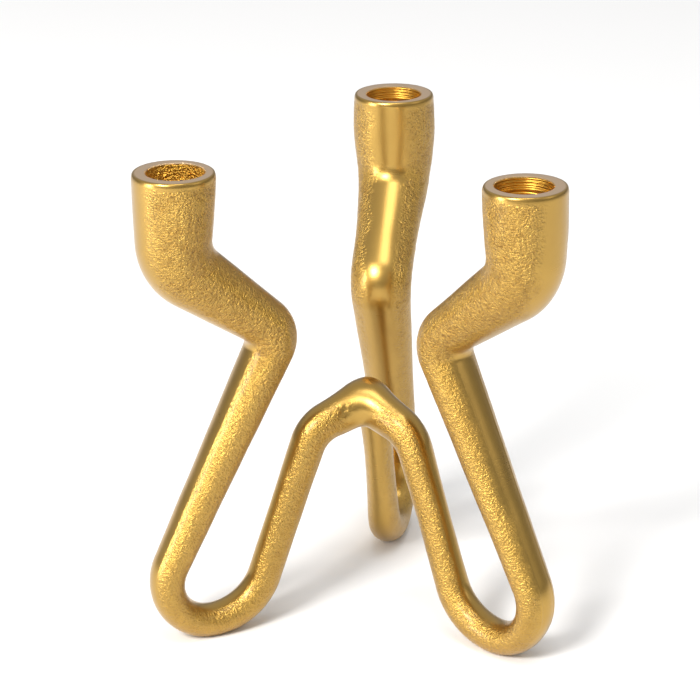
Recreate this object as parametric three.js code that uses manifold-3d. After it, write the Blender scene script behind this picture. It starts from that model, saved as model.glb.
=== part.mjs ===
// Tabletop candelabra: three like cast arms, mitred at a raised hub and welded together there.
// Millimetres, +Z up. The feet stand on Z = 0 and the origin is the centre of the footprint box.
import * as THREE from "three";
import { mergeVertices } from "three/addons/utils/BufferGeometryUtils.js";
import Module from "manifold-3d";

const wasm = await Module();
wasm.setup();

// ---- Driving dimensions ----

// Headings of the arms about the hub axis, in degrees from +X.
const ARM_HEADINGS = { arm_left: 213, arm_right: 328, arm_back: 90 };

// Candle socket, bored straight down into each rim for a standard taper candle, a little nearer
// to the hub than the middle of the rim.
const CANDLE_DIAMETER = 22;
const CANDLE_CLEARANCE = 0.5;
const SOCKET_DIAMETER = CANDLE_DIAMETER + CANDLE_CLEARANCE;
const SOCKET_DEPTH = 24;
const SOCKET_CHAMFER = 0.5;
const SOCKET_INSET = 0.7;

// Metal round the socket at the rim, in the arm's plane, and the size of the rim that it gives.
const CUP_WALL = 4.95;
const RIM_DEPTH = SOCKET_DIAMETER + 2 * CUP_WALL;

// How much narrower the cup's base is than its rim, in the arm's plane and square to it.
const CUP_BASE_NARROWING = 3.9;
const CUP_BASE_THINNING = 3.2;

// How much broader the rim is than it is deep, and how far the cup swells past the rim below it.
const RIM_SPREAD = 0.6;
const CUP_SWELL = 0.8;

// Corners of one arm's middle line, in the upright plane that holds the whole arm.
// reach is the distance from the hub axis, and height is taken from one common level.
// depth is the metal across the arm in that plane. upperRadius and lowerRadius round the two
// edges that lie left and right of the line on the way from the hub to the rim.
const HUB = { reach: 0, height: 87.2, depth: 18.4 };
const ARCH = { reach: 23.4, height: 79.2, depth: 14.4, upperRadius: 22, lowerRadius: 9 };
const FOOT_INNER = { reach: 50.3, height: 6.3, depth: 13.8, upperRadius: 20, lowerRadius: 32 };
const FOOT_OUTER = { reach: 102.8, height: -2.8, depth: 12.2, upperRadius: 13.5, lowerRadius: 27.5 };
const ELBOW = { reach: 38.1, height: 123.5, depth: 18.9, upperRadius: 18, lowerRadius: 3.5 };
const CUP_BASE = {
  reach: 80.4,
  height: 157,
  depth: RIM_DEPTH - CUP_BASE_NARROWING,
  upperRadius: 9,
  lowerRadius: 30.5,
};
const RIM = { reach: 79.2, height: 193.4, depth: RIM_DEPTH };

// Breadth of the metal square to that plane, at places along the arm.
const HUB_BREADTH = 16;
const ARCH_BREADTH = 14.8;
const INNER_LEG_BREADTH = 12;
const FOOT_BREADTH = 15.2;
const OUTER_LEG_BREADTH = 20.6;
const ELBOW_BREADTH = 25;
const SHOULDER_BREADTH = 25.8;
const RIM_BREADTH = RIM_DEPTH + RIM_SPREAD;
const CUP_BASE_BREADTH = RIM_BREADTH - CUP_BASE_THINNING;
const CUP_BREADTH = RIM_BREADTH + CUP_SWELL;

// The outer edge of each rim is rounded, and each foot is ground flat where it stands.
const RIM_EDGE_RADIUS = 2.2;
const FOOT_GRIND = 0.4;

// Welds between the mitred hub ends: their thickness, how far they stand proud of the arms, and
// the clearance that the separate solids keep.
const WELD_THICKNESS = 3.4;
const WELD_CROWN = 0.7;
const FIT_GAP = 0.3;

// Facets: sides of a section, and rings on each stretch (line, arc, line ... line) of an arm.
const SECTION_SIDES = 24;
const STRETCH_RINGS = [4, 5, 5, 5, 1, 6, 6, 5, 4, 6, 4];
const RIM_EDGE_RINGS = 3;
const SOCKET_SIDES = 40;

// The most of a leg of an edge that the fillets at its two ends may take together.
const MOST_FILLET = 0.98;

const CAST_GOLD = { color: 0xc0943c, roughness: 0.38, metalness: 1 };
const WELD_GOLD = { color: 0xc99d45, roughness: 0.3, metalness: 1 };

// ---- Solids ----

// A closed geometry as a solid that can be joined and cut.
function solidOf(geometry) {
  const bare = geometry.clone();
  bare.deleteAttribute("normal");
  bare.deleteAttribute("uv");
  const merged = mergeVertices(bare, 1e-5);
  return new wasm.Manifold(
    new wasm.Mesh({
      numProp: 3,
      vertProperties: new Float32Array(merged.getAttribute("position").array),
      triVerts: new Uint32Array(merged.getIndex().array),
    }),
  );
}

// A solid as a geometry.
function geometryOf(solid) {
  const mesh = solid.getMesh();
  const geometry = new THREE.BufferGeometry();
  geometry.setAttribute("position", new THREE.BufferAttribute(mesh.vertProperties, 3));
  geometry.setIndex(new THREE.BufferAttribute(mesh.triVerts, 1));
  geometry.computeVertexNormals();
  return geometry;
}

// A unit vector in the plane at an angle in degrees.
function heading(degrees) {
  const angle = THREE.MathUtils.degToRad(degrees);
  return new THREE.Vector2(Math.cos(angle), Math.sin(angle));
}

// Where the line through a along u crosses the line through b along v.
function crossing(a, u, b, v) {
  const along = b.clone().sub(a).cross(v) / u.cross(v);
  return a.clone().addScaledVector(u, along);
}

// ---- Outline of one arm ----

// The two edges of the arm as corner points: each leg of the middle line, moved sideways by half
// the depth at its two ends, and crossed with the next leg. side is 1 for the upper edge.
function edgeCorners(corners, side) {
  const legs = corners.slice(1).map((end, i) => {
    const start = corners[i];
    const from = new THREE.Vector2(start.reach, start.height);
    const to = new THREE.Vector2(end.reach, end.height);
    const across = to.clone().sub(from).normalize().rotateAround(new THREE.Vector2(), Math.PI / 2);
    from.addScaledVector(across, (side * start.depth) / 2);
    to.addScaledVector(across, (side * end.depth) / 2);
    return { from, along: to.sub(from) };
  });
  const first = legs[0];
  const last = legs[legs.length - 1];
  const hubAxis = { from: new THREE.Vector2(), along: new THREE.Vector2(0, 1) };
  const rimTop = corners[corners.length - 1].height - RIM_EDGE_RADIUS;
  const rimLine = { from: new THREE.Vector2(0, rimTop), along: new THREE.Vector2(1, 0) };
  const meet = (one, other) => crossing(one.from, one.along, other.from, other.along);
  const inner = legs.slice(1).map((leg, i) => meet(legs[i], leg));
  return [meet(first, hubAxis), ...inner, meet(last, rimLine)];
}

// Lengths from each inner corner to where its fillet begins, limited by the legs they share.
function filletLengths(points, radii) {
  const legs = points.slice(1).map((point, i) => point.clone().sub(points[i]));
  const lengths = radii.map((radius, i) => {
    const turn = Math.abs(Math.atan2(legs[i].cross(legs[i + 1]), legs[i].dot(legs[i + 1])));
    return radius * Math.tan(turn / 2);
  });
  legs.forEach((leg, i) => {
    const needed = (lengths[i - 1] ?? 0) + (lengths[i] ?? 0);
    const fit = Math.min(1, (MOST_FILLET * leg.length()) / needed);
    if (i > 0) lengths[i - 1] *= fit;
    if (i < lengths.length) lengths[i] *= fit;
  });
  return lengths;
}

// An edge as curves: a line, then an arc and a line for each inner corner.
function roundedEdge(points, radii) {
  const lengths = filletLengths(points, radii);
  const curves = [];
  let from = points[0];
  radii.forEach((_, i) => {
    const corner = points[i + 1];
    const back = points[i].clone().sub(corner).normalize();
    const ahead = points[i + 2].clone().sub(corner).normalize();
    const start = corner.clone().addScaledVector(back, lengths[i]);
    const end = corner.clone().addScaledVector(ahead, lengths[i]);
    const square = (direction) => new THREE.Vector2(-direction.y, direction.x);
    const centre = crossing(start, square(back), end, square(ahead));
    const radius = centre.distanceTo(start);
    const clockwise = back.cross(ahead) > 0;
    const startAngle = start.clone().sub(centre).angle();
    const endAngle = end.clone().sub(centre).angle();
    curves.push(new THREE.LineCurve(from, start));
    curves.push(
      new THREE.EllipseCurve(centre.x, centre.y, radius, radius, startAngle, endAngle, clockwise),
    );
    from = end;
  });
  curves.push(new THREE.LineCurve(from, points[points.length - 1]));
  return curves;
}

// The middle line's corners with their depths grown all round, for the welds.
function grownCorners(growth) {
  const all = [HUB, ARCH, FOOT_INNER, FOOT_OUTER, ELBOW, CUP_BASE, RIM];
  return all.map((corner) => ({ ...corner, depth: corner.depth + 2 * growth }));
}

// Breadth at a station: 0 at the hub, and one more at the end of each line or arc.
const BREADTHS = [
  [0, HUB_BREADTH],
  [1.5, ARCH_BREADTH],
  [2.5, INNER_LEG_BREADTH],
  [4.5, FOOT_BREADTH],
  [6.5, OUTER_LEG_BREADTH],
  [7.5, ELBOW_BREADTH],
  [8.5, SHOULDER_BREADTH],
  [9.5, CUP_BASE_BREADTH],
  [10.4, CUP_BREADTH],
  [11, RIM_BREADTH],
];

// Length along the arm at a station, as the mean of its two edges.
function lengthAt(upper, lower, station) {
  return upper.reduce((length, curve, stretch) => {
    const share = THREE.MathUtils.clamp(station - stretch, 0, 1);
    return length + (share * (curve.getLength() + lower[stretch].getLength())) / 2;
  }, 0);
}

// Breadth against length along the arm, as a smooth curve through the breadths.
function breadthCurve(upper, lower) {
  return new THREE.CubicInterpolant(
    BREADTHS.map(([station]) => lengthAt(upper, lower, station)),
    BREADTHS.map(([, breadth]) => breadth),
    1,
  );
}

// ---- One arm ----

// The arm's cross-sections from the hub to the rim, each with its centre, its half depth as a
// vector in the arm's plane, and its half breadth.
function armSections(growth) {
  const corners = grownCorners(growth);
  const rounded = corners.slice(1, -1);
  const upper = roundedEdge(
    edgeCorners(corners, 1),
    rounded.map((corner) => corner.upperRadius),
  );
  const lower = roundedEdge(
    edgeCorners(corners, -1),
    rounded.map((corner) => corner.lowerRadius),
  );
  const breadths = breadthCurve(upper, lower);
  const sections = [];
  STRETCH_RINGS.forEach((rings, stretch) => {
    const last = stretch === STRETCH_RINGS.length - 1;
    for (let i = 0; i < rings + (last ? 1 : 0); i += 1) {
      const u = i / rings;
      const top = upper[stretch].getPoint(u);
      const bottom = lower[stretch].getPoint(u);
      const centre = top.clone().add(bottom).multiplyScalar(0.5);
      const half = top.clone().sub(centre);
      const length = lengthAt(upper, lower, stretch + u);
      const breadth = breadths.evaluate(length)[0] / 2 + growth;
      sections.push({ centre, half, breadth });
    }
  });
  return sections.concat(rimEdgeSections(sections[sections.length - 1]));
}

// The rings that round the outer edge of the rim: a quarter circle from the wall to the rim's face.
function rimEdgeSections(wall) {
  const rings = [];
  for (let i = 1; i <= RIM_EDGE_RINGS; i += 1) {
    const angle = ((Math.PI / 2) * i) / RIM_EDGE_RINGS;
    const inset = RIM_EDGE_RADIUS * (1 - Math.cos(angle));
    const centre = wall.centre.clone();
    centre.y += RIM_EDGE_RADIUS * Math.sin(angle);
    const half = wall.half.clone().setLength(wall.half.length() - inset);
    rings.push({ centre, half, breadth: wall.breadth - inset });
  }
  return rings;
}

// Rings of elliptic sections joined into a closed skin, with a fan over each end.
function sweep(sections) {
  const positions = [];
  const indices = [];
  for (const { centre, half, breadth } of sections) {
    for (let i = 0; i < SECTION_SIDES; i += 1) {
      const angle = (2 * Math.PI * i) / SECTION_SIDES;
      const point = centre.clone().addScaledVector(half, Math.cos(angle));
      positions.push(point.x, breadth * Math.sin(angle), point.y);
    }
  }
  const ring = (section, side) => section * SECTION_SIDES + (side % SECTION_SIDES);
  for (let section = 1; section < sections.length; section += 1) {
    for (let side = 0; side < SECTION_SIDES; side += 1) {
      const here = ring(section - 1, side);
      const next = ring(section - 1, side + 1);
      const ahead = ring(section, side);
      const across = ring(section, side + 1);
      indices.push(here, across, next, here, ahead, across);
    }
  }
  const first = sections[0].centre;
  const last = sections[sections.length - 1].centre;
  const firstMiddle = positions.length / 3;
  positions.push(first.x, 0, first.y, last.x, 0, last.y);
  for (let side = 0; side < SECTION_SIDES; side += 1) {
    indices.push(firstMiddle, ring(0, side), ring(0, side + 1));
    const end = sections.length - 1;
    indices.push(firstMiddle + 1, ring(end, side + 1), ring(end, side));
  }
  const geometry = new THREE.BufferGeometry();
  geometry.setAttribute("position", new THREE.Float32BufferAttribute(positions, 3));
  geometry.setIndex(indices);
  return geometry;
}

// The level on which the feet stand: just above the lowest point of the arm's skin.
function floorLevel() {
  const lowest = armSections(0).map(({ centre, half }) => centre.y - Math.abs(half.y));
  return Math.min(...lowest) + FOOT_GRIND;
}
const FLOOR = floorLevel();

// An arm's full skin, standing on Z = 0 and turned to its heading. growth thickens it all round.
function armBlank(degrees, growth) {
  const skin = sweep(armSections(growth));
  skin.translate(0, 0, -FLOOR);
  skin.rotateZ(THREE.MathUtils.degToRad(degrees));
  return solidOf(skin);
}

// The candle socket's cutter: a bore with a flat floor and a chamfered mouth.
function socketCutter(degrees) {
  const radius = SOCKET_DIAMETER / 2;
  const rim = RIM.height - FLOOR;
  const mouth = radius + SOCKET_CHAMFER;
  const above = rim + SOCKET_CHAMFER;
  const profile = [
    new THREE.Vector2(0, rim - SOCKET_DEPTH),
    new THREE.Vector2(radius, rim - SOCKET_DEPTH),
    new THREE.Vector2(radius, rim - SOCKET_CHAMFER),
    new THREE.Vector2(mouth, rim),
    new THREE.Vector2(mouth, above),
    new THREE.Vector2(0, above),
  ];
  const bore = new THREE.LatheGeometry(profile, SOCKET_SIDES);
  bore.rotateX(Math.PI / 2);
  const place = heading(degrees).multiplyScalar(rimReach() - SOCKET_INSET);
  bore.translate(place.x, place.y, 0);
  return solidOf(bore);
}

// Distance of the rim's middle from the hub axis.
function rimReach() {
  const sections = armSections(0);
  return sections[sections.length - 1].centre.x;
}

// ---- Mitres and welds ----

// A tall wedge between two headings, with both faces drawn in by an inset.
function wedge(fromDegrees, toDegrees, inset) {
  const far = 4 * (RIM.height + FOOT_OUTER.reach);
  const from = heading(fromDegrees);
  const to = heading(toDegrees);
  const inFrom = heading(fromDegrees + 90).multiplyScalar(inset);
  const inTo = heading(toDegrees - 90).multiplyScalar(inset);
  const tip = crossing(inFrom, from, inTo, to);
  const shape = new THREE.Shape([
    tip,
    tip.clone().addScaledVector(from, far),
    tip.clone().addScaledVector(to, far),
  ]);
  const depth = RIM.height - FLOOR + WELD_CROWN;
  return solidOf(new THREE.ExtrudeGeometry(shape, { depth, bevelEnabled: false }));
}

// The seams lie half-way between neighbouring arms.
const names = Object.keys(ARM_HEADINGS);
const turnTo = (from, to) => (((to - from) % 360) + 360) % 360;
function seamAfter(name) {
  const here = ARM_HEADINGS[name];
  const next = ARM_HEADINGS[names[(names.indexOf(name) + 1) % names.length]];
  return here + turnTo(here, next) / 2;
}
function seamBefore(name) {
  const previous = names[(names.indexOf(name) + names.length - 1) % names.length];
  const here = ARM_HEADINGS[name];
  return here - turnTo(ARM_HEADINGS[previous], here) / 2;
}

// A cast arm: the skin, mitred at the hub, ground at the foot and bored at the rim.
function arm(name) {
  const degrees = ARM_HEADINGS[name];
  const inset = WELD_THICKNESS / 2 + FIT_GAP;
  return armBlank(degrees, 0)
    .intersect(wedge(seamBefore(name), seamAfter(name), inset))
    .subtract(socketCutter(degrees));
}

// A weld in the seam between an arm and the next: a plate of metal on the mitre plane, which
// follows both arms' skins and stands proud of them.
function weldAfter(name) {
  const next = names[(names.indexOf(name) + 1) % names.length];
  const seam = seamAfter(name);
  const before = seam - turnTo(seamBefore(name), seam) / 2;
  const after = seam + turnTo(seam, seamAfter(next)) / 2;
  const skins = armBlank(ARM_HEADINGS[name], WELD_CROWN).intersect(
    armBlank(ARM_HEADINGS[next], WELD_CROWN),
  );
  const reach = HUB.depth + HUB_BREADTH;
  const plate = new THREE.BoxGeometry(2 * reach, WELD_THICKNESS, 2 * RIM.height);
  plate.rotateZ(THREE.MathUtils.degToRad(seam));
  return solidOf(plate)
    .intersect(wedge(before, after, FIT_GAP / 2))
    .intersect(skins);
}

// ---- Assembly ----

function part(name, solid, finish) {
  const mesh = new THREE.Mesh(geometryOf(solid), new THREE.MeshStandardMaterial(finish));
  mesh.name = name;
  return mesh;
}

const WELD_AFTER = {
  arm_left: "weld_front",
  arm_right: "weld_back_right",
  arm_back: "weld_back_left",
};

const candelabra = new THREE.Group();
for (const name of names) {
  candelabra.add(part(name, arm(name), CAST_GOLD));
  candelabra.add(part(WELD_AFTER[name], weldAfter(name), WELD_GOLD));
}
const footprint = new THREE.Box3().setFromObject(candelabra).getCenter(new THREE.Vector3());
candelabra.position.set(-footprint.x, -footprint.y, 0);

export default candelabra;
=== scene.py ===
"""Tabletop candelabra: three cast arms and the blended welds of their hub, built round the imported
frame. Lengths in the panel are metres. Inside, shapes are worked out in millimetres from the hub
axis, in arm coordinates: r outwards along the arm's heading, t to its left, z up."""

import math

import bpy
import numpy as np
from bpy.props import FloatProperty, FloatVectorProperty, PointerProperty
from mathutils import Matrix, Vector


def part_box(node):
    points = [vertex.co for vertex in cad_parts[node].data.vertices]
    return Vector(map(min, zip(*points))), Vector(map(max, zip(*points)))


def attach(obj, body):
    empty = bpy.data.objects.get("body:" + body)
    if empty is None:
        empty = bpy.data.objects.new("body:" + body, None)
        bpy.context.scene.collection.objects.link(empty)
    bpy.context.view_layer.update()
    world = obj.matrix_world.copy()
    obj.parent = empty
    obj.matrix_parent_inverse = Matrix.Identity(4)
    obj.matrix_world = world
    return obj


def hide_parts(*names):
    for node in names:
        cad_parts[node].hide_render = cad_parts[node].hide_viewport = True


bl_info = {
    "name": "Tabletop candelabra",
    "version": (1, 0, 0),
    "blender": (4, 5, 0),
    "location": "3D View > Sidebar > Candelabra",
    "description": "Builds a cast three-light candelabra and its studio",
    "category": "Add Mesh",
}

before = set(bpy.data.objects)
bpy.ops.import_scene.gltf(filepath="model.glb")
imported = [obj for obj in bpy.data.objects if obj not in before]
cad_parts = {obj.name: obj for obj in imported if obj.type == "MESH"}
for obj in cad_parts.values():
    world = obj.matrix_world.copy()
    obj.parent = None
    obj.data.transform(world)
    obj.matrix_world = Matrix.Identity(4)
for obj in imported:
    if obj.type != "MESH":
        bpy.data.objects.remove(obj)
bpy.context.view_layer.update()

MM = 0.001
STRETCHES = 11
MOST_FILLET = 0.98  # share of a leg that the fillets at its two ends may take together
BREADTH_STATIONS = (0, 1.5, 2.5, 4.5, 6.5, 7.5, 8.5, 9.5, 10.4, 11)

# Mesh of one arm: sides of a section, rings on the skin, the rim's edge, its face, the bore and the
# bore's floor.
SIDES = 160
SKIN_RINGS = 520
EDGE_RINGS = 10
FACE_RINGS = 5
BORE_RINGS = 49
FLOOR_RINGS = 10
PHI = np.linspace(0, 2 * np.pi, SIDES, endpoint=False)

# Hub, in millimetres: how softly an arm ends past the hub axis, how far its roof dips there as a
# share of the blend, and how far out the dip reaches.
ROUND_OFF = 3.0
DIP_SHARE = 1.2
DIP_REACH = 6.0
HALVINGS = 34

# The arm's skin leaves the hub's soft skin between these reaches, and its rings stop opening at the
# last one. Both end at this station.
PLAIN_FROM, PLAIN_TO = 10.0, 17.0
OPEN_TO = 12.0
HUB_STATION = 1.2

# Texture that follows the skin is laid on a tube of this radius. Creases are sharp past an angle.
LAY_RADIUS = 8.0
SWELL = 0.10
BORE_SKIN = 0.8
FLOOR_SKIN = 0.3
SHARP_ANGLE = math.radians(34)
WELD_ROWS = 25

ARMS = {"arm_left": 213.0, "arm_right": 328.0, "arm_back": 90.0}
WELDS = {
    "weld_front": ("arm_left", "arm_right"),
    "weld_back_right": ("arm_right", "arm_back"),
    "weld_back_left": ("arm_back", "arm_left"),
}


# ---- Sizes, finish and studio ----


class CandelabraSizes(bpy.types.PropertyGroup):
    """Sizes of one arm, of its candle socket and of the blend at the hub."""

    reach: FloatVectorProperty(
        name="Corner reach",
        description="Distance of the middle line's corners from the hub axis",
        size=7,
        default=(0, 0.0234, 0.0503, 0.1028, 0.0381, 0.0804, 0.0792),
        unit="LENGTH",
    )
    height: FloatVectorProperty(
        name="Corner height",
        description="Height of the middle line's corners",
        size=7,
        default=(0.0872, 0.0792, 0.0063, -0.0028, 0.1235, 0.157, 0.1934),
        unit="LENGTH",
    )
    depth: FloatVectorProperty(
        name="Depth",
        description="Metal across the arm in its own plane, at each corner",
        size=7,
        default=(0.0184, 0.0144, 0.0138, 0.0122, 0.0189, 0.0285, 0.0324),
        unit="LENGTH",
    )
    upper_radius: FloatVectorProperty(
        name="Upper edge radius",
        description="Rounding of the upper edge at each inner corner",
        size=5,
        default=(0.022, 0.02, 0.0135, 0.018, 0.009),
        unit="LENGTH",
    )
    lower_radius: FloatVectorProperty(
        name="Lower edge radius",
        description="Rounding of the lower edge at each inner corner",
        size=5,
        default=(0.009, 0.032, 0.0275, 0.0035, 0.0305),
        unit="LENGTH",
    )
    breadth: FloatVectorProperty(
        name="Breadth",
        description="Metal square to the arm's plane, from the hub to the rim",
        size=10,
        default=(
            0.016,
            0.0148,
            0.012,
            0.0152,
            0.0206,
            0.025,
            0.0258,
            0.0298,
            0.0338,
            0.033,
        ),
        unit="LENGTH",
    )
    rim_edge: FloatProperty(
        name="Rim edge height",
        description="How far the rounding of the cup's outer edge reaches down",
        default=0.0022,
        unit="LENGTH",
    )
    rim_inset: FloatProperty(
        name="Rim edge inset",
        description="How far the rounding of the cup's outer edge reaches in",
        default=0.0009,
        unit="LENGTH",
    )
    socket: FloatProperty(
        name="Socket diameter",
        description="Bore for the candle",
        default=0.0225,
        unit="LENGTH",
    )
    socket_depth: FloatProperty(
        name="Socket depth", description="Depth of the bore", default=0.024, unit="LENGTH"
    )
    socket_inset: FloatProperty(
        name="Socket inset",
        description="How far the bore sits nearer the hub than the rim's middle",
        default=0.0007,
        unit="LENGTH",
    )
    chamfer: FloatProperty(
        name="Chamfer",
        description="Broken edge at the mouth of the bore",
        default=0.0005,
        unit="LENGTH",
    )
    weld_reach: FloatProperty(
        name="Weld reach",
        description="Where an arm begins, measured from the hub axis along the arm",
        default=0.00196,
        unit="LENGTH",
    )
    blend: FloatProperty(
        name="Hub blend",
        description="Softness of the valleys between the arms at the hub",
        default=0.0017,
        unit="LENGTH",
    )
    skin: FloatProperty(
        name="Cast skin",
        description="Depth of the sand-cast texture on the arms' sides",
        default=0.00011,
        unit="LENGTH",
    )


class CandelabraFinish(bpy.types.PropertyGroup):
    """Colours of the antique gold."""

    brushed: FloatVectorProperty(
        name="Brushed gold",
        description="The linished bands and the ground hub",
        size=3,
        subtype="COLOR",
        default=(0.485, 0.295, 0.065),
    )
    cast: FloatVectorProperty(
        name="Cast gold",
        description="The sand-cast sides",
        size=3,
        subtype="COLOR",
        default=(0.51, 0.31, 0.065),
    )
    # Patina in random clouds. In the cast skin's pits and hollows this colour is partly patina and
    # partly painted shade.
    patina_and_shade: FloatVectorProperty(
        name="Patina",
        description="The darker tone left in hollows",
        size=3,
        subtype="COLOR",
        default=(0.27, 0.135, 0.02),
    )
    # Rim faces: a real machined face, but its pale beige colour is a painted reflection, the sheen
    # that the flat tops of the rims catch from the light.
    machined_sheen: FloatVectorProperty(
        name="Machined gold",
        description="The flat faces of the rims",
        size=3,
        subtype="COLOR",
        default=(0.96, 0.68, 0.42),
    )
    bore: FloatVectorProperty(
        name="Bore gold",
        description="Inside the candle sockets",
        size=3,
        subtype="COLOR",
        default=(0.70, 0.39, 0.06),
    )


class CandelabraStudio(bpy.types.PropertyGroup):
    """Where the camera stands and how bright the studio is."""

    azimuth: FloatProperty(
        name="Azimuth",
        description="Turn of the camera round the object",
        default=math.radians(8.98),
        subtype="ANGLE",
    )
    elevation: FloatProperty(
        name="Elevation",
        description="Height of the camera above the horizon",
        default=math.radians(21.57),
        subtype="ANGLE",
    )
    roll: FloatProperty(
        name="Roll",
        description="Turn of the camera about its own axis",
        default=math.radians(-0.34),
        subtype="ANGLE",
    )
    distance: FloatProperty(
        name="Distance",
        description="From the camera to the point it aims at",
        default=1.11,
        unit="LENGTH",
    )
    lens: FloatProperty(name="Lens", description="Focal length in millimetres", default=141.67)
    key: FloatProperty(
        name="Key light", description="Power of the large front light", default=74.0
    )
    world: FloatProperty(
        name="Surroundings", description="Strength of the studio's soft light", default=0.42
    )


# ---- Shape of one arm ----


def smooth(low, high, value):
    """0 below low, 1 above high, and 3x^2 - 2x^3 of the share x between them."""
    share = np.clip((value - low) / (high - low), 0.0, 1.0)
    return share * share * (3 - 2 * share)


def lattice_noise(points, size, seed):
    """Smooth noise from -1 to 1: random numbers on a cubic lattice of that size, blended by the
    smooth step of the place between the lattice's points."""
    count = 32
    table = np.random.default_rng(seed).uniform(-1, 1, (count, count, count))
    place = points / size
    cell = np.floor(place).astype(int)
    share = place - cell
    share = share * share * (3 - 2 * share)
    total = 0.0
    for corner in np.ndindex(2, 2, 2):
        weight = np.prod(np.where(corner, share, 1 - share), axis=-1)
        index = (cell + corner) % count
        total = total + weight * table[index[..., 0], index[..., 1], index[..., 2]]
    return total


def cross2(a, b):
    return a[..., 0] * b[..., 1] - a[..., 1] * b[..., 0]


def meet(start, along, other_start, other_along):
    """Where two lines in a plane cross."""
    share = cross2(other_start - start, other_along) / cross2(along, other_along)
    return start + along * np.expand_dims(share, -1)


class Arm:
    """Outline of one arm in its own plane: two rounded edges, and the breadth between them."""

    def __init__(self, sizes):
        self.corners = np.stack([sizes.reach, sizes.height], axis=1) / MM
        self.depth = np.array(sizes.depth) / MM
        self.breadths = np.array(sizes.breadth) / MM
        self.rim_edge = sizes.rim_edge / MM
        self.upper = self.edge_corners(1), np.array(sizes.upper_radius) / MM
        self.lower = self.edge_corners(-1), np.array(sizes.lower_radius) / MM
        self.stations = np.linspace(0, STRETCHES, 400 * STRETCHES + 1)
        upper = self.edge_at(*self.upper, self.stations)
        lower = self.edge_at(*self.lower, self.stations)
        centre = (upper + lower) / 2
        steps = np.maximum(
            np.linalg.norm(np.diff(upper, axis=0), axis=1),
            np.linalg.norm(np.diff(lower, axis=0), axis=1),
        )
        self.lengths = np.concatenate([[0], np.cumsum(steps)])
        walked = (
            np.linalg.norm(np.diff(upper, axis=0), axis=1)
            + np.linalg.norm(np.diff(lower, axis=0), axis=1)
        ) / 2
        self.walked = np.concatenate([[0], np.cumsum(walked)])
        self.reaches = centre[:, 0]
        self.farthest = max(upper[:, 0].max(), lower[:, 0].max())

    def edge_corners(self, side):
        """Each leg of the middle line moved sideways by half the depth at its ends, and crossed
        with the next leg. The first starts on the hub axis and the last ends below the rim."""
        legs = np.diff(self.corners, axis=0)
        across = np.stack([-legs[:, 1], legs[:, 0]], axis=1)
        across /= np.linalg.norm(legs, axis=1)[:, None]
        start = self.corners[:-1] + side * across * self.depth[:-1, None] / 2
        end = self.corners[1:] + side * across * self.depth[1:, None] / 2
        along = end - start
        inner = meet(start[:-1], along[:-1], start[1:], along[1:])
        top = np.array([0, self.corners[-1, 1] - self.rim_edge])
        first = meet(start[0], along[0], np.zeros(2), np.array([0.0, 1.0]))
        last = meet(start[-1], along[-1], top, np.array([1.0, 0.0]))
        return np.vstack([first, inner, last])

    def edge_at(self, points, radii, stations):
        """Points of a rounded edge. Station 2i + u is the share u of line i, and station
        2i + 1 + u is the share u of the arc that rounds inner corner i."""
        legs = np.diff(points, axis=0)
        lengths = np.linalg.norm(legs, axis=1)
        unit = legs / lengths[:, None]
        turn = np.arctan2(cross2(unit[:-1], unit[1:]), np.sum(unit[:-1] * unit[1:], axis=1))
        taken = radii * np.tan(np.abs(turn) / 2)
        for i, length in enumerate(lengths):
            needed = (taken[i - 1] if i > 0 else 0) + (taken[i] if i < len(taken) else 0)
            fit = min(1.0, MOST_FILLET * length / needed)
            taken[max(i - 1, 0) : i + 1] *= fit
        start = points[1:-1] - unit[:-1] * taken[:, None]
        end = points[1:-1] + unit[1:] * taken[:, None]
        radius = (taken / np.tan(np.abs(turn) / 2))[:, None]
        square = np.stack([-unit[:-1, 1], unit[:-1, 0]], axis=1) * np.sign(turn)[:, None]
        centre = start + square * radius
        line_from = np.vstack([points[:1], end])
        line_to = np.vstack([start, points[-1:]])
        stretch = np.clip(np.floor(stations), 0, STRETCHES - 1).astype(int)
        share = stations - stretch
        i = stretch // 2
        line = line_from[i] + (line_to[i] - line_from[i]) * share[:, None]
        j = np.minimum(i, len(radii) - 1)
        angle = turn[j] * share
        spoke = start[j] - centre[j]
        turned = np.stack(
            [
                np.cos(angle) * spoke[:, 0] - np.sin(angle) * spoke[:, 1],
                np.sin(angle) * spoke[:, 0] + np.cos(angle) * spoke[:, 1],
            ],
            axis=1,
        )
        return np.where((stretch % 2 == 1)[:, None], centre[j] + turned, line)

    def half_breadth(self, stations):
        """Cubic of the length along the arm through the breadths, each slope the mean one between
        its neighbours. The length is the mean of the two edges'."""
        x = np.interp(BREADTH_STATIONS, self.stations, self.walked)
        length = np.interp(stations, self.stations, self.walked)
        y = self.breadths / 2
        slope = np.zeros_like(x)
        slope[1:-1] = (y[2:] - y[:-2]) / (x[2:] - x[:-2])
        slope[0] = 1.5 * (y[1] - y[0]) / (x[1] - x[0]) - 0.5 * slope[1]
        slope[-1] = 1.5 * (y[-1] - y[-2]) / (x[-1] - x[-2]) - 0.5 * slope[-2]
        i = np.clip(np.searchsorted(x, length, side="right") - 1, 0, len(x) - 2)
        step = x[i + 1] - x[i]
        u = (length - x[i]) / step
        return (
            (2 * u**3 - 3 * u**2 + 1) * y[i]
            + (u**3 - 2 * u**2 + u) * step * slope[i]
            + (3 * u**2 - 2 * u**3) * y[i + 1]
            + (u**3 - u**2) * step * slope[i + 1]
        )

    def sections(self, stations):
        """Centre and half depth of each section as vectors in the arm's plane, and half breadth."""
        upper = self.edge_at(*self.upper, stations)
        lower = self.edge_at(*self.lower, stations)
        centre = (upper + lower) / 2
        return centre, upper - centre, self.half_breadth(stations)

    def station_of_reach(self, reach):
        near = self.stations <= 1
        return np.interp(reach, self.reaches[near], self.stations[near])


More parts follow.
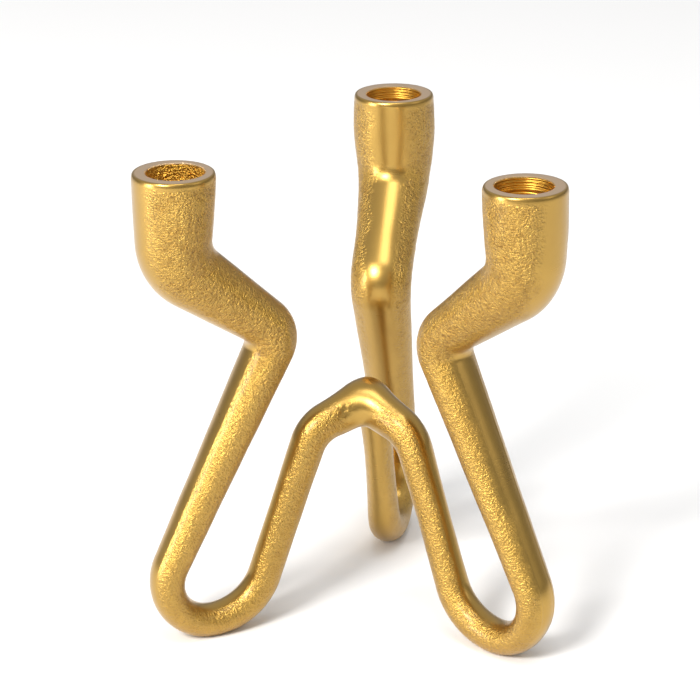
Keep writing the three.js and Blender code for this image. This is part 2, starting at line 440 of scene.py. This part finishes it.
class Hub:
    """The three arms' inner ends as one soft skin: the smooth minimum of three fields, each
    (sqrt(((z - middle) / a)^2 + (t / b)^2 + (behind / b)^2) - 1) * min(a, b)."""

    def __init__(self, arm, headings, softness):
        self.headings = np.radians(headings)
        self.softness = softness
        centre, half, breadth = arm.sections(np.array([0.0, 1.0]))
        upper, lower = centre + half, centre - half
        self.top = upper[0, 1]
        self.bottom = lower[0, 1]
        self.top_slope = (upper[1, 1] - upper[0, 1]) / upper[1, 0]
        self.bottom_slope = (lower[1, 1] - lower[0, 1]) / lower[1, 0]
        self.breadth = breadth[0]
        self.breadth_slope = (breadth[1] - breadth[0]) / centre[1, 0]
        self.dip = DIP_SHARE * softness

    def field(self, x, y, z):
        total = 0.0
        for angle in self.headings:
            r = x * np.cos(angle) + y * np.sin(angle)
            t = y * np.cos(angle) - x * np.sin(angle)
            ahead = (r + np.sqrt(r * r + ROUND_OFF**2)) / 2
            dip = self.dip * np.exp(-((ahead / DIP_REACH) ** 2))
            top = self.top + self.top_slope * ahead - dip
            bottom = self.bottom + self.bottom_slope * ahead + dip
            a = (top - bottom) / 2
            b = self.breadth + self.breadth_slope * ahead
            far = np.sqrt(
                ((z - (top + bottom) / 2) / a) ** 2 + (t / b) ** 2 + ((ahead - r) / b) ** 2
            )
            total = total + np.exp(-(far - 1) * np.minimum(a, b) / self.softness)
        return -self.softness * np.log(total)

    def cast(self, place):
        """The share of a ray at which it leaves the skin, by halving. place gives x, y and z."""
        x = place(np.float64(0))[0]
        low, high = np.full(x.shape, 0.15), np.full(x.shape, 3.0)
        for _ in range(HALVINGS):
            middle = (low + high) / 2
            inside = self.field(*place(middle)) < 0
            low = np.where(inside, middle, low)
            high = np.where(inside, high, middle)
        return (low + high) / 2


def to_world(r, t, z, degrees):
    """Arm coordinates turned to a heading about the hub axis."""
    angle = math.radians(degrees)
    x = r * math.cos(angle) - t * math.sin(angle)
    y = r * math.sin(angle) + t * math.cos(angle)
    return x, y, z


def gaps(name):
    """Half the turn to the arm before and to the arm after, in radians."""
    order = list(ARMS)
    here = ARMS[name]
    after = ARMS[order[(order.index(name) + 1) % 3]]
    before = ARMS[order[(order.index(name) - 1) % 3]]
    return math.radians((here - before) % 360) / 2, math.radians((after - here) % 360) / 2


def arm_surface(sizes, name):
    """Rings of one arm: points (ring, side, 3) in arm coordinates and what each ring is.

    A skin point is centre + share * (half * cos + breadth * t * sin). The share is 1 away from
    the hub, and near it is found on the hub's soft skin, where the rings also open into a V that
    follows the mitre planes: r grows by |t| * cot(half the turn to the next arm)."""
    arm = Arm(sizes)
    hub = Hub(arm, list(ARMS.values()), sizes.blend / MM)
    start = arm.station_of_reach(sizes.weld_reach / MM)
    length = np.linspace(
        np.interp(start, arm.stations, arm.lengths), arm.lengths[-1], SKIN_RINGS
    )
    stations = np.interp(length, arm.lengths, arm.stations)
    stations[0] = start
    centre, half, breadth = arm.sections(stations)
    before, after = gaps(name)
    cot = np.where(PHI <= np.pi, 1 / math.tan(after), 1 / math.tan(before))
    opening = 1 - smooth(centre[0, 0], OPEN_TO, centre[:, :1])
    opening[stations > HUB_STATION] = 0
    plain = smooth(PLAIN_FROM, PLAIN_TO, centre[:, :1])
    plain[stations > HUB_STATION] = 1
    near = int(np.argmax(plain[:, 0] >= 1)) + 1
    up = half[:, 1:] * np.cos(PHI)
    out = half[:, :1] * (1 - opening) * np.cos(PHI)
    aside = breadth[:, None] * np.sin(PHI)

    def place(share, rows=slice(None)):
        t = share * aside[rows]
        r = centre[rows, :1] + share * out[rows] + opening[rows] * cot * np.abs(t)
        return r, t, centre[rows, 1:] + share * up[rows]

    share = np.ones((len(stations), SIDES))
    rows = slice(0, near)
    found = hub.cast(lambda s: to_world(*place(s, rows), ARMS[name]))
    share[rows] = found * (1 - plain[rows]) + plain[rows]
    skin = np.stack(place(share), axis=-1)

    wall = centre[-1], half[-1], breadth[-1]
    bend = np.linspace(0, np.pi / 2, EDGE_RINGS + 1)[1:]
    inset = sizes.rim_inset / MM * (1 - np.cos(bend))
    inward = half[-1] / np.linalg.norm(half[-1])
    deep = np.linalg.norm(half[-1]) - inset[:, None]
    edge = np.stack(
        [
            wall[0][0] + inward[0] * deep * np.cos(PHI),
            (breadth[-1] - inset[:, None]) * np.sin(PHI),
            np.broadcast_to(
                wall[0][1] + arm.rim_edge * np.sin(bend)[:, None], (EDGE_RINGS, SIDES)
            ),
        ],
        axis=-1,
    )
    rim = wall[0][1] + arm.rim_edge
    bore = sizes.socket / MM / 2
    chamfer = sizes.chamfer / MM
    floor = sizes.socket_depth / MM
    middle = wall[0][0] - sizes.socket_inset / MM

    def circle(radius, drop):
        radius, drop = np.broadcast_arrays(radius, drop)
        return np.stack(
            [
                middle + inward[0] * radius[:, None] * np.cos(PHI),
                radius[:, None] * np.sin(PHI),
                np.broadcast_to(rim - drop[:, None], (len(radius), SIDES)),
            ],
            axis=-1,
        )

    mouth = circle(np.array([bore + chamfer]), 0.0)
    shares = np.linspace(0, 1, FACE_RINGS + 2)[1:-1, None, None]
    face = edge[-1:] * (1 - shares) + mouth * shares
    broken = circle(np.array([bore]), chamfer)
    wall_rings = circle(bore, np.linspace(chamfer, floor, BORE_RINGS + 1)[1:])
    floor_rings = circle(np.linspace(bore, 0, FLOOR_RINGS + 2)[1:-1], floor)
    parts = [skin, edge, face, mouth, broken, wall_rings, floor_rings]
    kinds = ["skin", "edge", "face", "face", "bore", "bore", "floor"]
    kind = np.concatenate([[k] * len(p) for k, p in zip(kinds, parts)])
    points = np.concatenate(parts)
    first = np.array([centre[0, 0], 0, centre[0, 1]])
    last = np.array([middle, 0, rim - floor])
    return points, kind, length, first, last


def normals_of(points):
    """Outward normals of a grid of rings: the step along crossed with the step around."""
    along = np.gradient(points, axis=0)
    around = np.roll(points, -1, axis=1) - np.roll(points, 1, axis=1)
    normal = np.cross(along, around)
    return normal / np.maximum(np.linalg.norm(normal, axis=2, keepdims=True), 1e-9)


def cast_texture(points):
    """Sand-cast skin, about -1 to 1: three sizes of noise and shallow pits where it runs low."""
    coarse = lattice_noise(points, 4.6, 11)
    middle = lattice_noise(points, 2.1, 12)
    fine = lattice_noise(points, 1.25, 13)
    crease = -np.abs(lattice_noise(points, 2.6, 14))
    pits = -smooth(0.35, 0.75, lattice_noise(points, 1.9, 15))
    return 0.5 * coarse + 0.45 * middle + 0.4 * fine + 0.7 * crease + 0.9 * pits


# Raised line beside the linished band of each outer leg: where it runs and how wide it is, as
# shares of the half breadth, its height in millimetres, and the levels between which it stands.
LINE_PLACE, LINE_WIDTH = 0.42, 0.035
LINE_HEIGHTS = {"arm_left": 0.05, "arm_right": 0.16, "arm_back": 0.05}
LEG_REACH = 80
LEG_LEVELS = (8, 20), (122, 105)

# A cluster of pits and a nick: place in arm coordinates, size and depth, all in millimetres.
PITS = (12.5, 6.5, 86.5), 2.4, 0.55
NICK = (85.5, -4.0, 24.0), 1.4, 0.7


def marks(points, kind, name):
    """Small marks left by casting and handling, in mm: a raised line where the linished band ends
    on each outer leg, a cluster of pits by the hub and a nick on a foot's outer edge."""
    past_foot = np.cumsum(points[:, :1, 0] > LEG_REACH, axis=0) > 0
    rising = (kind == "skin")[:, None] & past_foot
    bottom, top = LEG_LEVELS
    leg = rising * smooth(*bottom, points[..., 2]) * smooth(*top, points[..., 2])
    line = (np.abs(np.sin(PHI)) - LINE_PLACE) / LINE_WIDTH
    ridge = leg * np.exp(-(line**2)) * (np.cos(PHI) < 0)
    total = ridge * LINE_HEIGHTS[name]

    def spot(place, size, depth):
        away = np.linalg.norm((points - np.array(place)) / size, axis=-1)
        return depth * np.exp(-(away**2)) * (kind == "skin")[:, None]

    if name == "arm_left":
        cluster = 0.5 + 0.8 * lattice_noise(points, 1.3, 41)
        total = total - spot(*PITS) * np.clip(cluster, 0, 1)
    if name == "arm_right":
        total = total - spot(*NICK)
    return total


# Where the cast skin begins beside the linished bands, as a share of the half breadth, and where it
# begins away from the hub, below the rim and on the lower half of an arm, in millimetres.
BAND = 0.30, 0.80
OFF_HUB = 9.0, 17.0
BELOW_RIM = 0.3, 3.0
RIM_MARGIN = 1.5
UPPER_HALF = 85.0, 135.0
LOWER_SHARE = 0.5


def ring_masks(points, kind, name):
    """Every point's place about the hub axis, and its shares of cast skin and of bore."""
    skin = (kind == "skin")[:, None]
    world = np.stack(to_world(*np.moveaxis(points, -1, 0), ARMS[name]), axis=-1)
    ragged = 0.10 * lattice_noise(world, 5.0, 21) + 0.05 * lattice_noise(world, 1.8, 22)
    side = smooth(*BAND, np.abs(np.sin(PHI)) + ragged)
    away = smooth(*OFF_HUB, points[..., 0] + 3 * lattice_noise(world, 4.0, 23))
    below_rim = smooth(*BELOW_RIM, points[..., 2].max() - points[..., 2] - RIM_MARGIN)
    upper = smooth(*UPPER_HALF, points[..., 2])
    finer_below = LOWER_SHARE + (1 - LOWER_SHARE) * upper
    cast = np.where(skin, side * away * below_rim * finer_below, 0.0)
    bored = np.broadcast_to(np.isin(kind, ["bore", "floor"])[:, None], cast.shape)
    return world, cast, bored.astype(float)


# ---- Meshes ----


def add_piece(name, vertices, faces, attributes, material, node):
    """A mesh object at the origin from points in metres, riding on the frame."""
    mesh = bpy.data.meshes.new(name)
    mesh.from_pydata(vertices, [], faces)
    for key, values in attributes.items():
        if values.ndim == 1:
            layer = mesh.attributes.new(key, "FLOAT", "POINT")
            layer.data.foreach_set("value", values.astype(np.float32))
        else:
            layer = mesh.attributes.new(key, "FLOAT_VECTOR", "POINT")
            layer.data.foreach_set("vector", values.astype(np.float32).ravel())
    mesh.materials.append(material)
    mesh.polygons.foreach_set("use_smooth", np.ones(len(mesh.polygons), bool))
    mesh.update()
    mesh.set_sharp_from_angle(angle=SHARP_ANGLE)
    piece = bpy.data.objects.new(name, mesh)
    bpy.context.scene.collection.objects.link(piece)
    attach(piece, "root")
    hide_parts(node)
    return piece


def ring_faces(rings, sides, flip=False):
    """Quads between neighbouring rings of a grid that closes round its sides."""
    i, j = np.meshgrid(np.arange(rings - 1), np.arange(sides), indexing="ij")
    k = (j + 1) % sides
    quads = [i * sides + j, (i + 1) * sides + j, (i + 1) * sides + k, i * sides + k]
    return np.stack(quads[::-1] if flip else quads, axis=-1).reshape(-1, 4)


def fan_faces(middle, ring, flip=False):
    """Triangles from one point to a closed ring of points."""
    ahead = np.roll(ring, -1)
    sides = (ahead, ring) if flip else (ring, ahead)
    return np.stack([np.full_like(ring, middle), *sides], axis=-1)


def hub_place(sizes):
    """The hub axis on the floor in the frame: the back arm lies in the plane x = its own middle,
    and its farthest edge is the arm's farthest reach. The level comes from the rim's height."""
    low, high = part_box("arm_back")
    arm = Arm(sizes)
    x = (low.x + high.x) / 2
    y = high.y - arm.farthest * MM
    z = high.z - sizes.height[-1]
    return np.array([x, y, z])


def build_arm(sizes, name, material):
    points, kind, length, first, last = arm_surface(sizes, name)
    world, cast, bored = ring_masks(points, kind, name)
    normal = normals_of(points)
    turned = np.array(to_world(*np.moveaxis(normal, -1, 0), ARMS[name]))
    normal = np.moveaxis(turned, 0, -1)
    texture = cast_texture(world)
    swell = lattice_noise(world, 11.0, 31)
    skin = (kind == "skin")[:, None]
    away = smooth(3.0, 12.0, points[..., 0])
    rough_bore = bored * (name == "arm_left")
    height = sizes.skin / MM * texture * (cast + BORE_SKIN * rough_bore)
    height = height + np.where(skin, SWELL * swell * away, 0.0) + marks(points, kind, name)
    height[kind == "floor"] *= FLOOR_SKIN
    world = world + normal * height[..., None]
    low = hub_place(sizes)
    ends = np.array([to_world(*first, ARMS[name]), to_world(*last, ARMS[name])])
    vertices = np.vstack([world.reshape(-1, 3), ends]) * MM + low
    vertices[:, 2] = np.maximum(vertices[:, 2], 0.0)
    rings = len(points)
    base = rings * SIDES
    faces = ring_faces(rings, SIDES).tolist()
    faces += fan_faces(base, np.arange(SIDES)).tolist()
    faces += fan_faces(base + 1, np.arange(base - SIDES, base), flip=True).tolist()
    along = np.concatenate([length, np.full(rings - len(length), length[-1])])
    depth = points[..., 2].max() - points[..., 2]
    spread = np.linalg.norm(points[..., :2] - last[:2], axis=-1) / (sizes.socket / MM / 2)
    radius = LAY_RADIUS * np.where((kind == "floor")[:, None], spread, 1.0)
    lay = np.stack(
        [
            np.where(bored > 0, depth, np.broadcast_to(along[:, None], cast.shape)),
            radius * np.cos(PHI),
            radius * np.sin(PHI),
        ],
        axis=-1,
    )
    # Where the cast relief sinks: the material darkens it there, partly as patina and partly as
    # painted shade, and makes it rougher.
    hollow = smooth(0.1, -0.9, texture) * cast

    def flat(values):
        return np.concatenate([values.ravel(), [0.0, values[-1, 0]]])

    attributes = {
        "cast": flat(cast),
        "bored": flat(bored),
        "turned": flat(bored * (name != "arm_left")),
        "hollow": flat(hollow),
        # Rim faces, which get the pale colour that paints in their reflection.
        "machined_sheen": flat(np.broadcast_to((kind == "face")[:, None], cast.shape).astype(float)),
        "lay": np.vstack([lay.reshape(-1, 3), [[0, 0, 0], [depth[-1, 0], 0, 0]]]),
    }
    return add_piece(
        name + "_casting", vertices.tolist(), faces, attributes, material, name
    )


def build_weld(sizes, name, material):
    """The blend between two arms: rows at steps v across the seam. A row's rays start where the
    arm's middle line passes, at u = |v| * cot, and fan from straight up to straight down."""
    before, after = WELDS[name]
    arm = Arm(sizes)
    hub = Hub(arm, list(ARMS.values()), sizes.blend / MM)
    half_turn = math.radians((ARMS[after] - ARMS[before]) % 360) / 2
    seam = ARMS[before] + math.degrees(half_turn)
    start = arm.station_of_reach(sizes.weld_reach / MM)
    _, half, breadth = arm.sections(np.array([start]))
    rows = np.linspace(-1, 1, WELD_ROWS)[:, None] * sizes.weld_reach / MM
    v = rows * math.sin(half_turn)
    centre, _, _ = arm.sections(arm.station_of_reach(np.abs(rows[:, 0])))
    phi = np.linspace(0, np.pi, SIDES // 2 + 1)
    u = np.abs(rows) * math.cos(half_turn)

    def place(share):
        out = u + share * breadth[0] * np.sin(phi) / math.sin(half_turn)
        level = centre[:, 1:] + share * half[0, 1] * np.cos(phi)
        return to_world(out, v + 0 * out, level, seam)

    share = hub.cast(place)
    skin = np.stack(place(share), axis=-1)
    inner = np.stack(to_world(u, v, centre[:, 1:], seam), axis=-1)
    points = np.concatenate([inner, skin], axis=1)
    count, sides = points.shape[:2]
    vertices = points.reshape(-1, 3) * MM + hub_place(sizes)
    faces = ring_faces(count, sides, flip=True).tolist()
    for row, flip in ((0, True), (count - 1, False)):
        first = row * sides
        ring = np.arange(first + 1, first + sides)
        ends = (ring[1:], ring[:-1]) if flip else (ring[:-1], ring[1:])
        faces += np.stack([np.full(sides - 2, first), *ends], axis=-1).tolist()
    flat = np.zeros(count * sides)
    lay = np.stack([flat, vertices[:, 0] / MM, vertices[:, 1] / MM], axis=-1)
    attributes = {"lay": lay}
    attributes |= {key: flat for key in ("cast", "bored", "turned", "hollow", "machined_sheen")}
    return add_piece(
        name + "_blend", vertices.tolist(), faces, attributes, material, name
    )


# ---- Materials ----


class Value:
    """A shader socket. Sums, differences and products of values add Math nodes."""

    def __init__(self, graph, socket):
        self.graph = graph
        self.socket = socket

    def math(self, operation, first, second):
        return self.graph.node("ShaderNodeMath", {"operation": operation}, {0: first, 1: second})

    def __add__(self, other):
        return self.math("ADD", self, other)

    __radd__ = __add__

    def __sub__(self, other):
        return self.math("SUBTRACT", self, other)

    def __rsub__(self, other):
        return self.math("SUBTRACT", other, self)

    def __mul__(self, other):
        return self.math("MULTIPLY", self, other)

    __rmul__ = __mul__


class Graph:
    """A material's node tree."""

    def __init__(self, name):
        self.material = bpy.data.materials.new(name)
        self.material.use_nodes = True
        self.tree = self.material.node_tree
        self.tree.nodes.clear()

    def node(self, kind, settings, inputs, output=0):
        """Adds a node: its settings first, then the value or link of each socket."""
        made = self.tree.nodes.new(kind)
        for key, value in settings.items():
            setattr(made, key, value)
        for key, value in inputs.items():
            if isinstance(value, Value):
                self.tree.links.new(value.socket, made.inputs[key])
            else:
                made.inputs[key].default_value = value
        return Value(self, made.outputs[output]) if len(made.outputs) else None

    def attribute(self, name, output="Fac"):
        return self.node("ShaderNodeAttribute", {"attribute_name": name}, {}, output)

    def noise(self, place, scale, detail=2.0, roughness=0.5):
        sockets = {"Vector": place, "Scale": scale, "Detail": detail, "Roughness": roughness}
        return self.node("ShaderNodeTexNoise", {}, sockets, "Fac")

    def blend(self, share, first, second):
        """A colour between two colours. Sockets 6 and 7 of a colour Mix are its two colours."""
        return self.node(
            "ShaderNodeMix", {"data_type": "RGBA"}, {0: share, 6: first, 7: second}, 2
        )

    def ramp(self, value, low, high):
        """0 at low, 1 at high, smooth between."""
        settings = {"interpolation_type": "SMOOTHSTEP"}
        return self.node("ShaderNodeMapRange", settings, {0: value, 1: low, 2: high})


BRUSHED_ROUGHNESS = {"cast_gold": 0.30, "weld_gold": 0.29}
STREAK_SCALE = (3.2, 0.16, 0.16)
WRINKLE_SCALE = (1.6, 0.8, 0.8)
TURNED_SCALE = (1.7, 0.0, 0.0)
GRAINS_PER_METRE = 1250.0
CELLS_PER_METRE = 620.0
CLOUDS_PER_METRE = 46.0
RELIEF = 0.0013


def gold(name, finish):
    """Antique gold: pale linished bands with fine streaks across, a duller cast skin with small
    grains and hollows darkened partly as patina and partly as painted shade, deep orange bores with
    turned rings, and rim faces whose pale colour is a painted reflection."""
    graph = Graph(name)
    place = graph.node("ShaderNodeTexCoord", {}, {}, "Object")
    lay = graph.attribute("lay", "Vector")
    cast = graph.attribute("cast")
    bored = graph.attribute("bored")
    turned = graph.attribute("turned")
    hollow = graph.attribute("hollow")

    streaks = graph.node(
        "ShaderNodeMapping", {}, {"Vector": lay, "Scale": STREAK_SCALE}
    )
    streak = graph.noise(streaks, 1.0, 2.0, 0.6)
    grains = graph.noise(place, GRAINS_PER_METRE, 2.0, 0.55)
    wrinkles = graph.node(
        "ShaderNodeMapping", {}, {"Vector": lay, "Scale": WRINKLE_SCALE}
    )
    wrinkle = graph.noise(wrinkles, 1.0, 1.5, 0.5)
    machined_sheen = graph.attribute("machined_sheen")
    cells = graph.node(
        "ShaderNodeTexVoronoi",
        {"feature": "F1"},
        {"Vector": place, "Scale": CELLS_PER_METRE},
        "Distance",
    )
    cloud = graph.noise(place, CLOUDS_PER_METRE, 3.0, 0.6)
    rings = graph.node("ShaderNodeMapping", {}, {"Vector": lay, "Scale": TURNED_SCALE})
    ring = graph.noise(rings, 1.0, 1.0, 0.5)

    colour = graph.blend(cast, (*finish.brushed, 1), (*finish.cast, 1))
    colour = graph.blend(0.10 * graph.ramp(cloud, 0.40, 0.70), colour, (*finish.patina_and_shade, 1))
    # Pits of the fine grain and hollows of the relief are darkened: partly patina, partly painted
    # shade.
    pitted = graph.ramp(grains, 0.47, 0.30) * cast
    colour = graph.blend(0.75 * pitted + 0.25 * hollow, colour, (*finish.patina_and_shade, 1))
    colour = graph.blend(bored, colour, (*finish.bore, 1))
    # The rim faces take the pale machined colour, a painted reflection of the light on their flat
    # tops.
    colour = graph.blend(machined_sheen, colour, (*finish.machined_sheen, 1))

    roughness = BRUSHED_ROUGHNESS[name] + 0.09 * (streak - 0.5) + 0.12 * cast + 0.10 * hollow
    roughness = roughness + 0.10 * (cloud - 0.5) + 0.06 * bored

    crinkled = cast + 1.3 * (bored - turned)
    grain = 0.75 * (grains - 0.5) + 0.3 * (cells - 0.45) + 0.4 * (wrinkle - 0.5)
    relief = crinkled * grain + (1 - cast) * 0.02 * streak
    relief = relief + turned * ring * 0.45
    bump = graph.node(
        "ShaderNodeBump", {}, {"Strength": 1.0, "Distance": RELIEF, "Height": relief}, "Normal"
    )
    shader = graph.node(
        "ShaderNodeBsdfPrincipled",
        {},
        {
            "Base Color": colour,
            "Metallic": 1.0,
            "Roughness": roughness,
            "Normal": bump,
            "Coat Weight": 0.4,
            "Coat Roughness": 0.28,
        },
    )
    graph.node("ShaderNodeOutputMaterial", {}, {"Surface": shader})
    return graph.material


# ---- Studio ----


# Each soft light: azimuth and elevation in degrees, distance, width and height in metres, its power
# as a share of the key light setting, and its colour.
LIGHTS = {
    "key": (-26, 38, 3.0, 0.8, 0.8, 1.1, (1.0, 0.985, 0.965)),
    "fill": (80, 30, 3.0, 1.1, 1.1, 0.05, (1.0, 0.97, 0.95)),
    "top": (20, 75, 3.0, 1.3, 1.3, 0.31, (1, 1, 1)),
    "strip": (-58, 10, 1.6, 0.30, 0.7, 0.15, (1, 1, 1)),
}
TARGET_HEIGHT = 0.09
CAMERA_SHIFT = -0.0228, 0.0625


def direction(azimuth, elevation):
    """Unit vector from the object towards an azimuth, turned from -Y towards +X, and elevation."""
    level = math.cos(elevation)
    return Vector((math.sin(azimuth) * level, -math.cos(azimuth) * level, math.sin(elevation)))


def add_light(name, target, key):
    """A soft rectangular light that faces the target."""
    azimuth, elevation, distance, width, height, share, colour = LIGHTS[name]
    back = direction(math.radians(azimuth), math.radians(elevation))
    data = bpy.data.lights.new(name, "AREA")
    data.shape = "RECTANGLE"
    data.size = width
    data.size_y = height
    data.energy = key * share
    data.color = colour
    light = bpy.data.objects.new(name, data)
    light.location = target + back * distance
    light.rotation_mode = "QUATERNION"
    light.rotation_quaternion = (-back).to_track_quat("-Z", "Y")
    bpy.context.scene.collection.objects.link(light)


def add_camera(studio, target):
    """The camera: aimed from its azimuth and elevation, rolled, and shifted a little so that the
    hub stands right of and below the middle of the frame."""
    roll = studio.roll
    back = direction(studio.azimuth, studio.elevation)
    right = Vector((math.cos(studio.azimuth), math.sin(studio.azimuth), 0))
    up = back.cross(right)
    right, up = (
        right * math.cos(roll) + up * math.sin(roll),
        up * math.cos(roll) - right * math.sin(roll),
    )
    data = bpy.data.cameras.new("Camera")
    data.lens = studio.lens
    data.shift_x, data.shift_y = CAMERA_SHIFT
    camera = bpy.data.objects.new("Camera", data)
    turned = Matrix((right, up, back)).transposed().to_4x4()
    camera.matrix_world = Matrix.Translation(target + back * studio.distance) @ turned
    bpy.context.scene.collection.objects.link(camera)
    bpy.context.scene.camera = camera


FLOOR_RADII = np.geomspace(0.4, 9.0, 9)
FLOOR_SIDES = 64


def add_floor():
    """A wide pale floor: a disc of rings whose radius grows by an even share."""
    radius = FLOOR_RADII
    angle = np.linspace(0, 2 * np.pi, FLOOR_SIDES, endpoint=False)
    x = np.outer(radius, np.cos(angle)).ravel()
    y = np.outer(radius, np.sin(angle)).ravel()
    vertices = np.column_stack([x, y, np.zeros_like(x)])
    vertices = np.vstack([vertices, np.zeros((1, 3))])
    faces = ring_faces(len(radius), FLOOR_SIDES).tolist()
    faces += fan_faces(len(radius) * FLOOR_SIDES, np.arange(FLOOR_SIDES)).tolist()
    mesh = bpy.data.meshes.new("floor")
    mesh.from_pydata(vertices.tolist(), [], faces)
    floor = bpy.data.objects.new("floor", mesh)
    bpy.context.scene.collection.objects.link(floor)
    graph = Graph("floor_white")
    shader = graph.node(
        "ShaderNodeBsdfPrincipled",
        {},
        {"Base Color": (0.93, 0.93, 0.93, 1), "Roughness": 0.9, "Specular IOR Level": 0.2},
    )
    graph.node("ShaderNodeOutputMaterial", {}, {"Surface": shader})
    mesh.materials.append(graph.material)


# The height at which the surroundings begin and end to brighten, and their light there.
SKY = {"From Min": -0.05, "From Max": 0.62, "To Min": 0.6, "To Max": 1.8}


def add_world(strength):
    """Soft surroundings: dim near the horizon and bright overhead."""
    world = bpy.data.worlds.new("studio")
    bpy.context.scene.world = world
    world.use_nodes = True
    tree = world.node_tree
    tree.nodes.clear()
    coordinate = tree.nodes.new("ShaderNodeTexCoord")
    split = tree.nodes.new("ShaderNodeSeparateXYZ")
    share = tree.nodes.new("ShaderNodeMapRange")
    share.interpolation_type = "SMOOTHSTEP"
    for key, value in SKY.items():
        share.inputs[key].default_value = value
    background = tree.nodes.new("ShaderNodeBackground")
    output = tree.nodes.new("ShaderNodeOutputWorld")
    scale = tree.nodes.new("ShaderNodeMath")
    scale.operation = "MULTIPLY"
    scale.inputs[1].default_value = strength
    tree.links.new(coordinate.outputs["Generated"], split.inputs[0])
    tree.links.new(split.outputs["Z"], share.inputs[0])
    tree.links.new(share.outputs[0], scale.inputs[0])
    tree.links.new(scale.outputs[0], background.inputs["Strength"])
    tree.links.new(background.outputs[0], output.inputs["Surface"])


# ---- Operators, panel and registration ----


class CANDELABRA_OT_arms(bpy.types.Operator):
    """Build the three cast arms in place of their frame solids"""

    bl_idname = "candelabra.arms"
    bl_label = "Build arms"

    def execute(self, context):
        scene = context.scene
        material = gold("cast_gold", scene.candelabra_finish)
        for name in ARMS:
            build_arm(scene.candelabra_sizes, name, material)
        return {"FINISHED"}


class CANDELABRA_OT_welds(bpy.types.Operator):
    """Build the blended welds of the hub in place of their frame solids"""

    bl_idname = "candelabra.welds"
    bl_label = "Build welds"

    def execute(self, context):
        scene = context.scene
        material = gold("weld_gold", scene.candelabra_finish)
        for name in WELDS:
            build_weld(scene.candelabra_sizes, name, material)
        return {"FINISHED"}


class CANDELABRA_OT_stage(bpy.types.Operator):
    """Set the floor, the soft lights, the surroundings and the camera"""

    bl_idname = "candelabra.stage"
    bl_label = "Set the stage"

    def execute(self, context):
        studio = context.scene.candelabra_studio
        hub = hub_place(context.scene.candelabra_sizes)
        target = Vector((hub[0], hub[1], hub[2] + TARGET_HEIGHT))
        add_floor()
        add_world(studio.world)
        add_camera(studio, target)
        for name in LIGHTS:
            add_light(name, target, studio.key)
        context.scene.view_settings.view_transform = "Standard"
        return {"FINISHED"}


class CANDELABRA_PT_panel(bpy.types.Panel):
    """Sizes, finish and studio, with the operators that build each part"""

    bl_idname = "CANDELABRA_PT_panel"
    bl_label = "Candelabra"
    bl_space_type = "VIEW_3D"
    bl_region_type = "UI"
    bl_category = "Candelabra"

    def draw(self, context):
        layout = self.layout
        for group in ("candelabra_sizes", "candelabra_finish", "candelabra_studio"):
            settings = getattr(context.scene, group)
            box = layout.box()
            for key in settings.bl_rna.properties.keys():
                if key not in ("rna_type", "name"):
                    box.prop(settings, key)
        for operator in OPERATORS:
            layout.operator(operator.bl_idname)


OPERATORS = (CANDELABRA_OT_arms, CANDELABRA_OT_welds, CANDELABRA_OT_stage)
GROUPS = {
    "candelabra_sizes": CandelabraSizes,
    "candelabra_finish": CandelabraFinish,
    "candelabra_studio": CandelabraStudio,
}


def register():
    for made in (*GROUPS.values(), *OPERATORS, CANDELABRA_PT_panel):
        bpy.utils.register_class(made)
    for key, group in GROUPS.items():
        setattr(bpy.types.Scene, key, PointerProperty(type=group))


def unregister():
    for key in GROUPS:
        delattr(bpy.types.Scene, key)
    for made in (CANDELABRA_PT_panel, *reversed(OPERATORS), *reversed(GROUPS.values())):
        bpy.utils.unregister_class(made)


def main():
    register()
    bpy.ops.candelabra.arms()
    bpy.ops.candelabra.welds()
    bpy.ops.candelabra.stage()


if __name__ == "__main__":
    main()
